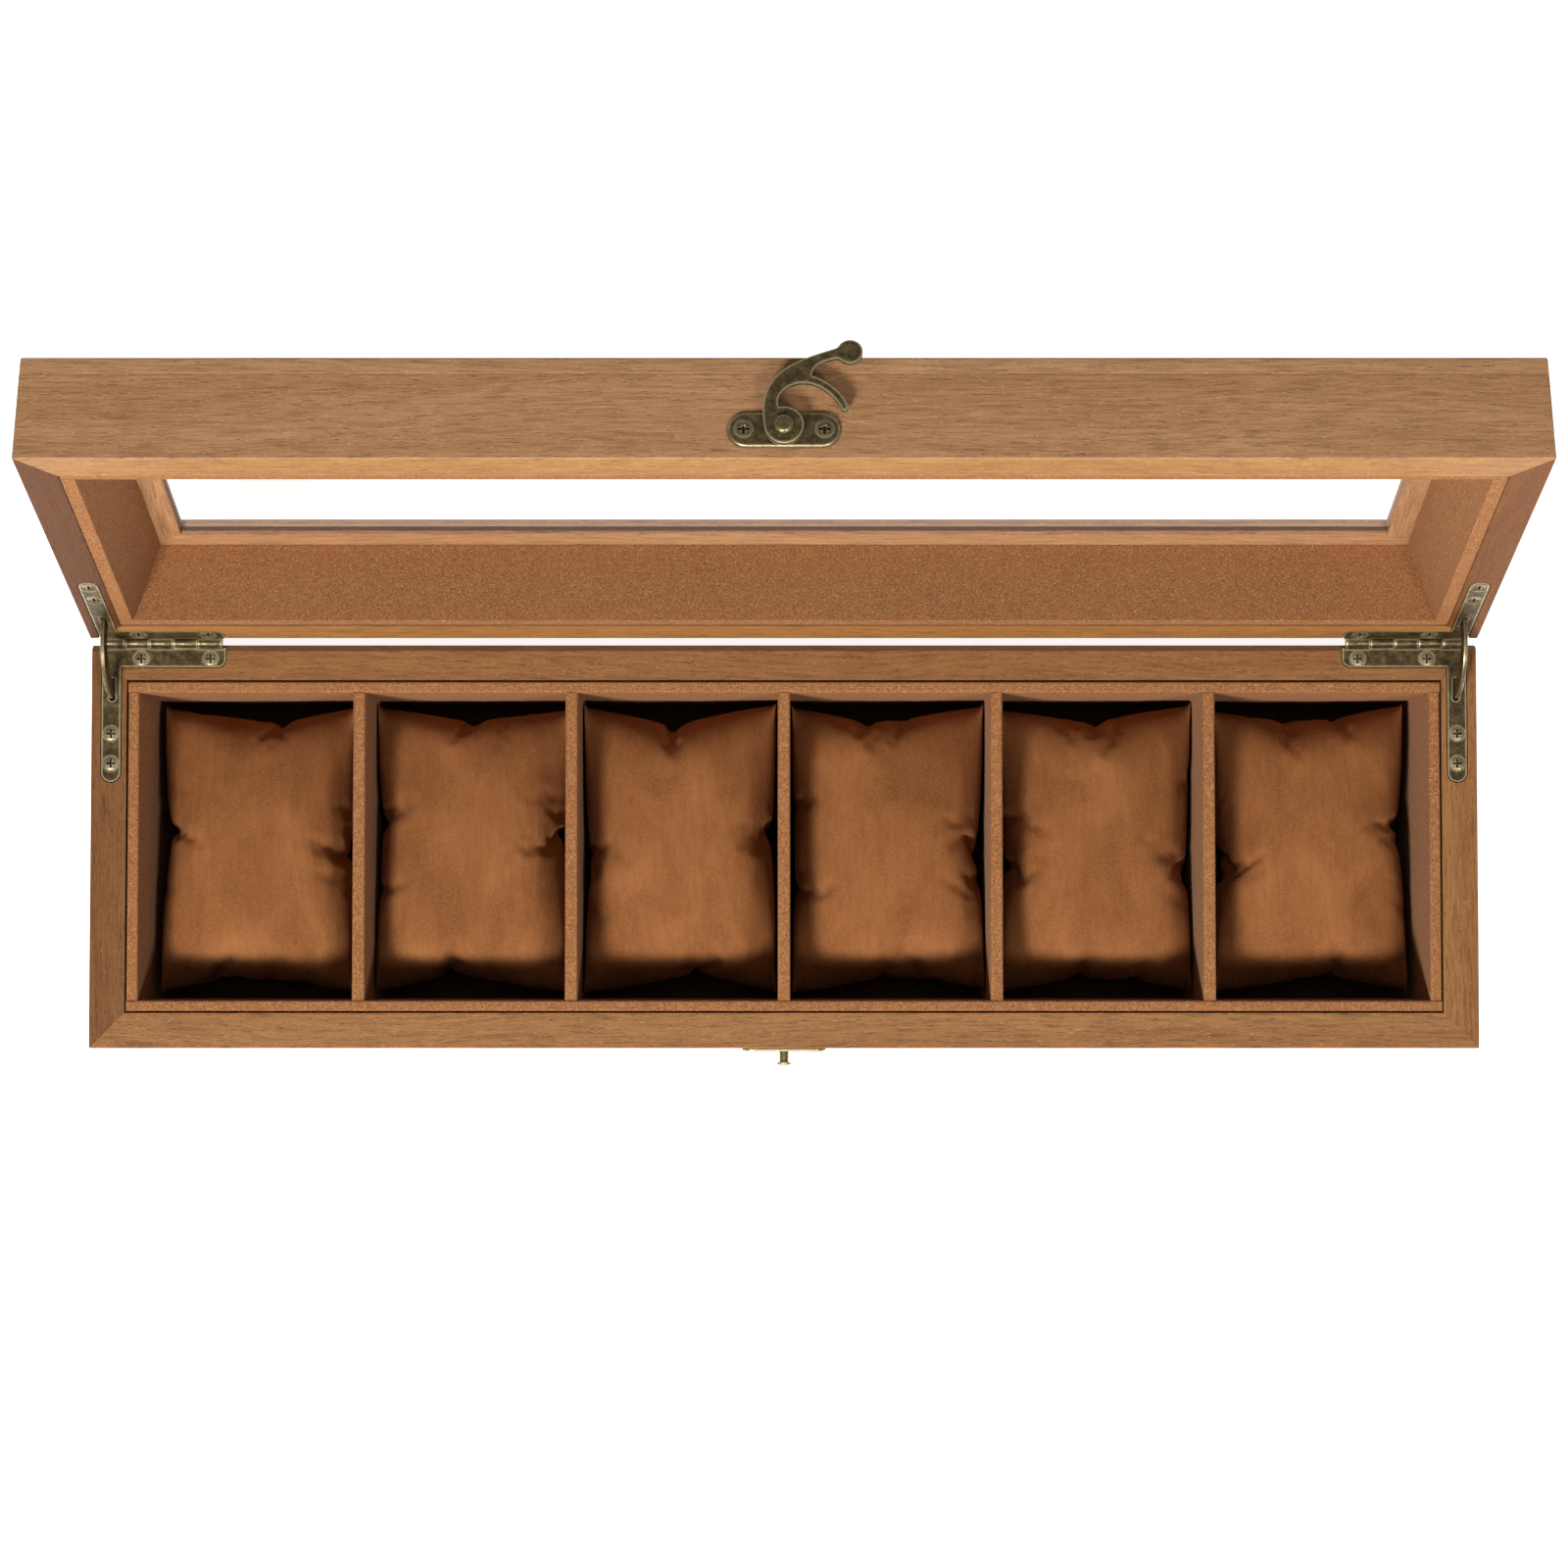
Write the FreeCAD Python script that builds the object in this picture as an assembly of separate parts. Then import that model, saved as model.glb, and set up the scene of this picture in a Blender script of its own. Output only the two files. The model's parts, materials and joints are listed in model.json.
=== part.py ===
import FreeCAD, Part
import math
import os
from FreeCAD import Vector

# A six-compartment wooden watch box with a glazed lid, in millimetres.
# The origin is the centre of the underside, +X runs along the box, -Y is the front and +Z is up.
# The lid is modelled shut and then swung open about its hinge pins, which is its rest pose.

# ---- driving dimensions ----
LENGTH = 330.0
DEPTH = 96.0
BASE_TOP = 55.5             # height of the base's rim
WALL = 8.4                  # thickness of the side boards
LINER = 3.0                 # felt-covered board that lines the base
DIVIDER = 3.0
PITCH = 50.6                # from one divider to the next
DIVIDERS = 5
LINER_GAP = 0.3             # between the linings and the side boards
LINER_DROP = 0.5            # the linings stand this far below the rim
UNDER_FELT = 1.0
PANEL = 4.0                 # bottom panel, held in a groove
PANEL_BOTTOM = 3.0
GROOVE_DEPTH = 3.5
FLOOR_FELT = 1.5
UPRIGHT_ROUND = 0.4         # rounding of the box's four upright corners
RIM_CHAMFER = 0.25
FOOT_CHAMFER = 0.6

LID_GAP = 0.3               # between the two rims when shut
LID_WALL_HEIGHT = 20.2
RAIL = 4.3                  # thickness of the frame round the glass
RAIL_WIDTH_FRONT = 16.0
RAIL_WIDTH_SIDE = 22.5
GLASS = 1.5
GLASS_LIFT = 1.2            # underside of the glass above the underside of the frame
GLASS_REBATE = 1.5
GLASS_EDGE_PLAY = 0.3
GLASS_PLAY = 0.15
LID_LINER = 2.4             # front and back linings of the lid
LID_SIDE_LINER_RIM = 3.2    # the side linings lean inwards towards the glass
LID_SIDE_LINER_TOP = 8.6
LID_LINER_DROP = 0.3
LID_TOP_ROUND = 0.6
SEAM_CHAMFER = 0.3          # round the joint between the lid's boards and its frame
SIGHT_CHAMFER = 0.5         # along the window's outer edge
OPEN_ANGLE = 109.0

AXIS_BEHIND = 0.6           # hinge axis behind the back face
BARREL_R = 1.5
PIN_R = 0.75
PIN_PLAY = 0.05
KNUCKLES = 5
KNUCKLE = 5.75
KNUCKLE_GAP = 0.15
BARREL_START = 2.4          # first knuckle, from the end face of the box
LEAF = 1.6
ARM_OUT = 2.45              # outer edge of the leaf's side arm, from the end face
ARM_WIDTH = 4.5
ARM_REACH = 33.3            # end of the side arm, from the hinge axis
BACK_ARM_END = 31.9         # end of the back arm, from the end face
BACK_ARM_FRONT = 5.3        # front edge of the back arm, from the back face
LEAF_CORNER = 1.8
LEAF_LIP = 0.6              # the leaf ends this far in front of the back face, under the barrels
BARREL_RELIEF = 0.2         # room in a leaf for the other leaf's barrels
WEB_REACH = 2.2             # the web of a knuckle starts this far in front of the back face
MORTISE_PLAY = 0.25
BARREL_PLAY = 0.3
BARREL_END_PLAY = 0.4
WEB_PLAY = 0.2
BACK_CHAMFER = 1.5

STAY_IN = 9.0               # the stay is a flat arc about the hinge axis
STAY_OUT = 13.5
STAY_THICK = 0.9
STAY_FROM_END = 4.95        # middle plane of the stay, from the end face
STAY_HALF_ANGLE = 66.4
STAY_HOOK_R = 14.8
STAY_HOOK_ANGLE = 62.0      # the hooked ends start here, measured from the middle of the arc
SLOT_PLAY = 0.25
SLOT_WIDTH = 1.3
KEY_R = 0.8                 # round end of the slot, where the stay's hook goes in
KEY_IN = 0.5
POCKET_WIDTH = 1.7
POCKET_PLAY = 0.4
POCKET_SPARE_ANGLE = 2.0

BASE_SIDE_SCREWS = (21.8, 28.9)    # from the hinge axis, along the side arm
LID_SIDE_SCREWS = (23.6, 30.4)
BACK_SCREWS = (11.8, 28.3)         # from the end face, along the back arm
BACK_SCREW_IN = 3.35               # from the back face
SCREW_SINK = 0.25
SCREW_HEAD_R = 1.75
SCREW_R = 0.8
SCREW_LENGTH = 8.0

CLASP_RISE = 6.6            # clasp rivet above the lid's rim
CLASP_LENGTH = 24.2
CLASP_WIDTH = 8.0
CLASP_THICK = 0.8
CLASP_SCREW = 8.7
CLASP_SCREW_HEAD_R = 2.1
CLASP_SCREW_LENGTH = 7.0
PLATE_CHAMFER = 0.25
BOSS_R = 3.7
BOSS_HEIGHT = 0.6
HOOK_THICK = 1.6
HOOK_SCALE = 1.06
HOOK_PLAY = 0.05
EYE_R = 4.24
DISC_R = 2.76
CLAW_R = 0.76
NECK_BLEND = 1.6            # where the hook's arm runs into its finger disc
DISH_R = 9.0                # hollow in the finger disc
DISH_DEPTH = 0.2
RIVET_R = 1.1
RIVET_HEAD_R = 2.1
RIVET_HEAD = 0.9
PIN_IN_WOOD = 6.0
CATCH_DROP = 3.9            # catch peg below the base's rim
CATCH_LENGTH = 20.0
CATCH_WIDTH = 5.6
CATCH_SCREW = 7.2
PEG_R = 1.1
PEG_HEAD_R = 1.8
PEG_HEAD = 0.7
PEG_SPARE = 0.35            # room between the hook and the peg's head
CATCH_SCREW_HEAD_R = 1.3

PILLOW = (46.2, 63.0, 38.0)
PILLOW_LIFT = 0.3           # clear of the floor lining
PILLOW_ROUND = 11.0

# ---- derived places ----
HALF_X = LENGTH / 2
HALF_Y = DEPTH / 2
IN_X = HALF_X - WALL
IN_Y = HALF_Y - WALL
LINED_X = IN_X - LINER
LINED_Y = IN_Y - LINER
FLOOR = PANEL_BOTTOM + PANEL + FLOOR_FELT
LINER_TOP = BASE_TOP - LINER_DROP
LID_RIM = BASE_TOP + LID_GAP
LID_CEILING = LID_RIM + LID_WALL_HEIGHT
LID_TOP = LID_CEILING + RAIL
AXIS_Y = HALF_Y + AXIS_BEHIND
AXIS_Z = BASE_TOP + LID_GAP / 2
GLASS_BOTTOM = LID_CEILING + GLASS_LIFT

X_AXIS = Vector(1, 0, 0)
Z_AXIS = Vector(0, 0, 1)
HINGE_POINT = Vector(0, AXIS_Y, AXIS_Z)


# ---- helpers ----
def box(x0, x1, y0, y1, z0, z1):
    return Part.makeBox(x1 - x0, y1 - y0, z1 - z0, Vector(x0, y0, z0))


def centred_box(half_x, half_y, z0, z1):
    return box(-half_x, half_x, -half_y, half_y, z0, z1)


def cylinder(radius, start, direction, length):
    return Part.makeCylinder(radius, length, Vector(*start), Vector(*direction))


def polygon_prism(points, travel):
    """Extrude a closed outline of 3-D points along a vector."""
    wire = Part.makePolygon([Vector(*p) for p in points] + [Vector(*points[0])])
    return Part.Face(wire).extrude(Vector(*travel))


def fused(shapes):
    result = shapes[0]
    for shape in shapes[1:]:
        result = result.fuse(shape)
    return result.removeSplitter()


def cut_all(shape, tools):
    for tool in tools:
        shape = shape.cut(tool)
    return shape


def edges_where(shape, test):
    """The straight edges of a shape whose two ends both pass a test."""
    found = []
    for edge in shape.Edges:
        ends = [vertex.Point for vertex in edge.Vertexes]
        if len(ends) == 2 and all(test(p) for p in ends):
            found.append(edge)
    return found


def near(a, b):
    return abs(a - b) < 0.01


def mirrored_x(shape):
    return shape.mirror(Vector(0, 0, 0), X_AXIS)


def mirrored_to_lid(shape):
    """The same thing on the other side of the plane between the two rims."""
    return shape.mirror(HINGE_POINT, Z_AXIS)


def opened(shape):
    turned = shape.copy()
    turned.rotate(HINGE_POINT, X_AXIS, -OPEN_ANGLE)
    return turned


def export(name, shape):
    if isinstance(shape, list):
        shape = Part.makeCompound(shape)
    shape.exportStep(os.path.join("parts", name + ".step"))


def mitred(ring, run_x, run_y):
    """Cut a rectangular ring into front, back, left and right along the mitres at its corners."""
    over = 5.0
    out_x = HALF_X + over * run_x / run_y
    out_y = HALF_Y + over
    meet_x = HALF_X - HALF_Y * run_x / run_y
    low = ring.BoundBox.ZMin - 1
    height = ring.BoundBox.ZLength + 2
    wedges = {
        "front": [(-out_x, -out_y, low), (out_x, -out_y, low), (meet_x, 0, low), (-meet_x, 0, low)],
        "back": [(out_x, out_y, low), (-out_x, out_y, low), (-meet_x, 0, low), (meet_x, 0, low)],
        "left": [(-out_x, out_y, low), (-out_x, -out_y, low), (-meet_x, 0, low)],
        "right": [(out_x, -out_y, low), (out_x, out_y, low), (meet_x, 0, low)],
    }
    return {side: ring.common(polygon_prism(p, (0, 0, height))) for side, p in wedges.items()}


# ---- screws ----
def screw_blank(centre, direction, head_r, length):
    """A countersunk screw before its cross is cut; centre is the middle of its head's edge circle."""
    head_depth = 1.0
    point = 1.2
    dome = 0.25
    head = Part.makeCone(SCREW_R, head_r, head_depth, Vector(0, 0, -head_depth), Z_AXIS)
    shank = cylinder(SCREW_R, (0, 0, -length + point), (0, 0, 1), length - point - head_depth)
    tip = Part.makeCone(0.15, SCREW_R, point, Vector(0, 0, -length), Z_AXIS)
    ball_r = (head_r ** 2 + dome ** 2) / (2 * dome)
    cap = Part.makeSphere(ball_r, Vector(0, 0, dome - ball_r))
    cap = cap.common(cylinder(head_r, (0, 0, 0), (0, 0, 1), dome + 0.1))
    blank = fused([head, shank, tip, cap])
    blank.Placement = FreeCAD.Placement(Vector(*centre), FreeCAD.Rotation(Z_AXIS, Vector(*direction)))
    return blank


def screw(centre, direction, head_r=SCREW_HEAD_R, length=SCREW_LENGTH):
    """The screw, and the hole for it in the wood and metal round it, open above the head."""
    blank = screw_blank(centre, direction, head_r, length)
    arm = head_r * 0.62
    slot = head_r * 0.16
    depth = head_r * 0.42
    cross = fused([centred_box(arm, slot, -depth, 1.0), centred_box(slot, arm, -depth, 1.0)])
    cross.Placement = blank.Placement
    mouth = cylinder(head_r, (0, 0, 0), (0, 0, 1), 1.0)
    mouth.Placement = blank.Placement
    return blank.cut(cross), fused([blank, mouth])


# ---- hinges (left one, base side; the others are mirror images) ----
def arm_centre_x():
    return -HALF_X + ARM_OUT + ARM_WIDTH / 2


def stay_x():
    return -HALF_X + STAY_FROM_END


def leaf_outline(play, thickness, extra_up):
    """The L of the leaf, or of its mortise when play is more than 0."""
    bottom = BASE_TOP - thickness
    height = thickness + extra_up
    end_y = AXIS_Y - ARM_REACH + ARM_WIDTH / 2
    x0 = -HALF_X + ARM_OUT
    side = Part.makeBox(ARM_WIDTH + 2 * play, AXIS_Y - end_y, height, Vector(x0 - play, end_y, bottom))
    tip = cylinder(ARM_WIDTH / 2 + play, (arm_centre_x(), end_y, bottom), (0, 0, 1), height)
    end_x = -HALF_X + BACK_ARM_END + play
    front_y = HALF_Y - BACK_ARM_FRONT - play
    back = box(x0 - play, end_x, front_y, AXIS_Y, bottom, bottom + height)
    corner = edges_where(back, lambda p: near(p.x, end_x) and near(p.y, front_y))
    back = back.makeFillet(LEAF_CORNER + play, corner)
    return fused([side, tip, back])


def knuckle_span(index):
    x0 = -HALF_X + BARREL_START + index * KNUCKLE
    return x0 + KNUCKLE_GAP / 2, x0 + KNUCKLE - KNUCKLE_GAP / 2


def barrel_piece(radius, x0, x1):
    return cylinder(radius, (x0, AXIS_Y, AXIS_Z), (1, 0, 0), x1 - x0)


def hinge_leaf(own, bore_r, side_screws):
    """One leaf in the base's place: a plate with the knuckles whose numbers are in own."""
    leaf = leaf_outline(0, LEAF, 0)
    leaf = leaf.cut(box(-HALF_X - 1, 0, HALF_Y - LEAF_LIP, AXIS_Y + 1, 0, BASE_TOP + 1))
    leaf = leaf.cut(barrel_piece(BARREL_R + BARREL_RELIEF, -HALF_X, -HALF_X + BACK_ARM_END + 1))
    for index in own:
        x0, x1 = knuckle_span(index)
        web = box(x0, x1, HALF_Y - WEB_REACH, AXIS_Y, BASE_TOP - LEAF, BASE_TOP)
        leaf = fused([leaf, web, barrel_piece(BARREL_R, x0, x1)])
    leaf = leaf.cut(barrel_piece(bore_r, -HALF_X, -HALF_X + BACK_ARM_END + 1))
    slot_in = AXIS_Y - STAY_IN + POCKET_PLAY
    slot_out = AXIS_Y - STAY_OUT - SLOT_PLAY
    x = stay_x()
    slot = box(x - SLOT_WIDTH / 2, x + SLOT_WIDTH / 2, slot_out, slot_in, BASE_TOP - LEAF - 1, BASE_TOP + 1)
    key = cylinder(KEY_R, (x, slot_out + KEY_IN, BASE_TOP - LEAF - 1), (0, 0, 1), LEAF + 2)
    leaf = leaf.cut(slot).cut(key)
    return cut_all(leaf, [hole for solid, hole in hinge_screws(side_screws)])


def hinge_screw_places(side_screws):
    z = BASE_TOP - SCREW_SINK
    side_x = arm_centre_x()
    back_y = HALF_Y - BACK_SCREW_IN
    return [
        (side_x, AXIS_Y - side_screws[0], z),
        (side_x, AXIS_Y - side_screws[1], z),
        (-HALF_X + BACK_SCREWS[0], back_y, z),
        (-HALF_X + BACK_SCREWS[1], back_y, z),
    ]


def hinge_screws(side_screws):
    return [screw(place, (0, 0, 1)) for place in hinge_screw_places(side_screws)]


def arc_band(r_in, r_out, angle_0, angle_1, half_width, x):
    """A flat ring sector about the hinge axis; angle 0 points to the front, positive angles go up."""
    start = math.radians(angle_0)
    end = math.radians(angle_1)
    middle = (start + end) / 2

    def at(radius, angle):
        return Vector(x - half_width, AXIS_Y - radius * math.cos(angle), AXIS_Z + radius * math.sin(angle))

    outer = Part.Arc(at(r_out, start), at(r_out, middle), at(r_out, end)).toShape()
    inner = Part.Arc(at(r_in, end), at(r_in, middle), at(r_in, start)).toShape()
    side_1 = Part.makeLine(at(r_out, end), at(r_in, end))
    side_0 = Part.makeLine(at(r_in, start), at(r_out, start))
    face = Part.Face(Part.Wire([outer, side_1, inner, side_0]))
    return face.extrude(Vector(2 * half_width, 0, 0))


def left_stay():
    """The crescent that stops the lid, at the middle of its travel; it turns half as far as the lid."""
    half = STAY_THICK / 2
    band = arc_band(STAY_IN, STAY_OUT, -STAY_HALF_ANGLE, STAY_HALF_ANGLE, half, stay_x())
    low_hook = arc_band(STAY_OUT - 1, STAY_HOOK_R, -STAY_HALF_ANGLE, -STAY_HOOK_ANGLE, half, stay_x())
    high_hook = arc_band(STAY_OUT - 1, STAY_HOOK_R, STAY_HOOK_ANGLE, STAY_HALF_ANGLE, half, stay_x())
    stay = fused([band, low_hook, high_hook])
    stay.rotate(HINGE_POINT, X_AXIS, -OPEN_ANGLE / 2)
    return stay


def hinge_cutters(side_screws):
    """What the left hinge takes out of the base's boards."""
    mortise = leaf_outline(MORTISE_PLAY, LEAF, 1)
    x0 = -HALF_X + BARREL_START - BARREL_END_PLAY
    x1 = -HALF_X + BARREL_START + KNUCKLES * KNUCKLE + BARREL_END_PLAY
    barrel = barrel_piece(BARREL_R + BARREL_PLAY, x0, x1)
    web_bottom = BASE_TOP - LEAF - 0.05
    webs = box(x0, x1, HALF_Y - WEB_REACH - WEB_PLAY, HALF_Y + 1, web_bottom, BASE_TOP + 1)
    low_angle = -STAY_HALF_ANGLE - POCKET_SPARE_ANGLE
    pocket_in = STAY_IN - POCKET_PLAY
    pocket_out = STAY_HOOK_R + POCKET_PLAY
    pocket = arc_band(pocket_in, pocket_out, low_angle, POCKET_SPARE_ANGLE, POCKET_WIDTH / 2, stay_x())
    return [mortise, barrel, webs, pocket] + [hole for solid, hole in hinge_screws(side_screws)]


# ---- clasp ----
def stadium(length, width, thickness, z):
    """A round-ended plate lying on the front face, centred on x = 0 at height z."""
    half = (length - width) / 2
    y = -HALF_Y - thickness
    middle = box(-half, half, y, -HALF_Y, z - width / 2, z + width / 2)
    ends = [cylinder(width / 2, (side * half, y, z), (0, 1, 0), thickness) for side in (-1, 1)]
    plate = fused([middle] + ends)
    rim = [edge for edge in plate.Edges if near(edge.BoundBox.YMax, y)]
    return plate.makeChamfer(PLATE_CHAMFER, rim)


def front_screws(spacing, z, head_r):
    places = [(side * spacing, -HALF_Y - CLASP_THICK, z) for side in (-1, 1)]
    return [screw(place, (0, -1, 0), head_r, CLASP_SCREW_LENGTH) for place in places]


def spline(points):
    curve = Part.BSplineCurve()
    curve.interpolate([Vector(p[0] * HOOK_SCALE, 0, p[1] * HOOK_SCALE) for p in points])
    return curve.toShape()


def clasp_hook(z):
    """The swinging hook, open: an eye, a curved arm with a finger disc, and a claw for the catch peg."""
    y = -HALF_Y - CLASP_THICK - BOSS_HEIGHT - HOOK_PLAY
    back = [(-4.0, 0.0), (-4.1, 5.2), (-2.2, 10.2), (2.3, 14.0), (6.8, 16.0), (11.4, 17.6)]
    under_disc = [(11.8, 15.4), (8.8, 14.6), (6.5, 13.2), (5.6, 11.0)]
    claw_back = [(5.6, 11.0), (8.6, 9.5), (11.2, 7.1), (12.8, 4.4)]
    claw_front = [(11.6, 3.7), (9.9, 6.4), (7.4, 8.5), (4.6, 9.5), (1.4, 8.9), (-1.0, 6.4), (-0.9, 3.6)]
    claw_end = Vector(12.2 * HOOK_SCALE, 0, 4.0 * HOOK_SCALE)
    disc_at = Vector(13.4 * HOOK_SCALE, 0, 16.6 * HOOK_SCALE)
    corners = [back[-1], under_disc[0], claw_back[-1], claw_front[0], claw_front[-1], back[0]]
    lines = [Vector(p[0] * HOOK_SCALE, 0, p[1] * HOOK_SCALE) for p in corners]
    edges = [
        spline(back),
        Part.makeLine(lines[0], lines[1]),
        spline(under_disc),
        spline(claw_back),
        Part.makeLine(lines[2], lines[3]),
        spline(claw_front),
        Part.makeLine(lines[4], lines[5]),
    ]
    arm = Part.Face(Part.Wire(edges)).extrude(Vector(0, -HOOK_THICK, 0))
    claw_tip = cylinder(CLAW_R, claw_end, (0, -1, 0), HOOK_THICK)
    eye = cylinder(EYE_R, (0, 0, 0), (0, -1, 0), HOOK_THICK)
    disc = cylinder(DISC_R, disc_at, (0, -1, 0), HOOK_THICK)
    hook = fused([arm, eye, disc, claw_tip])
    necks = edges_where(hook, lambda p: near((p - disc_at - Vector(0, p.y, 0)).Length, DISC_R))
    hook = hook.makeFillet(NECK_BLEND, [e for e in necks if near(e.Length, HOOK_THICK)])
    dish = Part.makeSphere(DISH_R, disc_at + Vector(0, -HOOK_THICK - DISH_R + DISH_DEPTH, 0))
    hook = hook.cut(dish)
    hook = hook.cut(cylinder(RIVET_R + HOOK_PLAY, (0, 1, 0), (0, -1, 0), 6))
    hook.translate(Vector(0, y, z))
    return hook


def headed_pin(radius, head_r, inner, stand, head_height, z):
    """A round pin out of the front face with a domed head; stand is the head's height off the face."""
    shank = cylinder(radius, (0, -HALF_Y + inner, z), (0, -1, 0), inner + stand)
    head = cylinder(head_r, (0, -HALF_Y - stand, z), (0, -1, 0), head_height)
    outer = [edge for edge in head.Edges if near(edge.BoundBox.YMax, -HALF_Y - stand - head_height)]
    head = head.makeFillet(head_height * 0.7, outer)
    return fused([shank, head])


# ---- base ----
def make_base():
    ring = centred_box(HALF_X, HALF_Y, UNDER_FELT, BASE_TOP).cut(centred_box(IN_X, IN_Y, 0, BASE_TOP + 1))
    corners = edges_where(ring, lambda p: near(abs(p.x), HALF_X) and near(abs(p.y), HALF_Y))
    upright = [e for e in corners if e.BoundBox.ZLength > 10]
    ring = ring.makeFillet(UPRIGHT_ROUND, upright)
    rim = [e for e in ring.Edges if near(e.BoundBox.ZMin, BASE_TOP) and on_outside(e)]
    ring = ring.makeChamfer(RIM_CHAMFER, rim)
    foot = [e for e in ring.Edges if near(e.BoundBox.ZMax, UNDER_FELT) and on_outside(e)]
    ring = ring.makeChamfer(FOOT_CHAMFER, foot)
    ring = ring.cut(back_chamfer())
    panel = centred_box(IN_X + GROOVE_DEPTH, IN_Y + GROOVE_DEPTH, PANEL_BOTTOM, PANEL_BOTTOM + PANEL)
    cutters = hinge_cutters(BASE_SIDE_SCREWS)
    cutters = cutters + [mirrored_x(c) for c in cutters]
    peg_z = BASE_TOP - CATCH_DROP
    head_at = CLASP_THICK + BOSS_HEIGHT + HOOK_THICK + PEG_SPARE
    peg = headed_pin(PEG_R, PEG_HEAD_R, PIN_IN_WOOD, head_at, PEG_HEAD, peg_z)
    catch_screws = front_screws(CATCH_SCREW, peg_z, CATCH_SCREW_HEAD_R)
    catch_plate = stadium(CATCH_LENGTH, CATCH_WIDTH, CLASP_THICK, peg_z)
    catch_holes = [hole for solid, hole in catch_screws]
    catch_plate = cut_all(catch_plate, [peg] + catch_holes)
    ring = cut_all(ring, cutters + [panel, peg] + catch_holes)
    for side, wall in mitred(ring, WALL, WALL).items():
        export("base_" + side + "_wall", wall)
    export("bottom_panel", panel)
    export("underside_felt", centred_box(HALF_X - 1.5, HALF_Y - 1.5, 0, UNDER_FELT))
    export("floor_liner", centred_box(IN_X, IN_Y, PANEL_BOTTOM + PANEL, FLOOR))
    export("catch_plate", catch_plate)
    export("catch_peg", peg)
    export("catch_screws", [solid for solid, hole in catch_screws])


def back_chamfer():
    """The bevel along the back of the base's rim, in which the hinge barrels lie."""
    size = BACK_CHAMFER
    edge_y = HALF_Y
    points = [
        (-HALF_X - 1, edge_y - size, BASE_TOP),
        (-HALF_X - 1, edge_y + 1, BASE_TOP + 0.01),
        (-HALF_X - 1, edge_y + 1, BASE_TOP - size - 1),
    ]
    return polygon_prism(points, (LENGTH + 2, 0, 0))


def lining_board(x0, x1, y0, y1, z0, z1, rounded=0.6):
    """A felt-covered board with eased top edges."""
    board = box(x0, x1, y0, y1, z0, z1)
    along_x = x1 - x0 > y1 - y0
    top = []
    for edge in board.Edges:
        bound = edge.BoundBox
        if near(bound.ZMin, z1) and (bound.XLength if along_x else bound.YLength) > 5:
            top.append(edge)
    return board.makeFillet(rounded, top)


def make_linings():
    out_x = IN_X - LINER_GAP
    out_y = IN_Y - LINER_GAP
    export("base_liner_front", lining_board(-out_x, out_x, -out_y, -LINED_Y, FLOOR, LINER_TOP))
    export("base_liner_back", lining_board(-out_x, out_x, LINED_Y, out_y, FLOOR, LINER_TOP))
    export("base_liner_left", lining_board(-out_x, -LINED_X, -LINED_Y, LINED_Y, FLOOR, LINER_TOP))
    export("base_liner_right", lining_board(LINED_X, out_x, -LINED_Y, LINED_Y, FLOOR, LINER_TOP))
    for number in range(DIVIDERS):
        x = (number - (DIVIDERS - 1) / 2) * PITCH
        board = lining_board(x - DIVIDER / 2, x + DIVIDER / 2, -LINED_Y, LINED_Y, FLOOR, LINER_TOP)
        export("divider_" + str(number + 1), board)


def make_pillows():
    """Six loose pillows, each in the middle of its compartment."""
    first = -(DIVIDERS - 1) / 2 * PITCH
    edges = [-LINED_X] + [first + n * PITCH for n in range(DIVIDERS)] + [LINED_X]
    for number in range(DIVIDERS + 1):
        left = edges[number] + (DIVIDER / 2 if number > 0 else 0)
        right = edges[number + 1] - (DIVIDER / 2 if number < DIVIDERS else 0)
        middle = (left + right) / 2
        wide, long, high = PILLOW
        bottom = FLOOR + PILLOW_LIFT
        body = box(middle - wide / 2, middle + wide / 2, -long / 2, long / 2, bottom, bottom + high)
        export("pillow_" + str(number + 1), body.makeFillet(PILLOW_ROUND, body.Edges))


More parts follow.
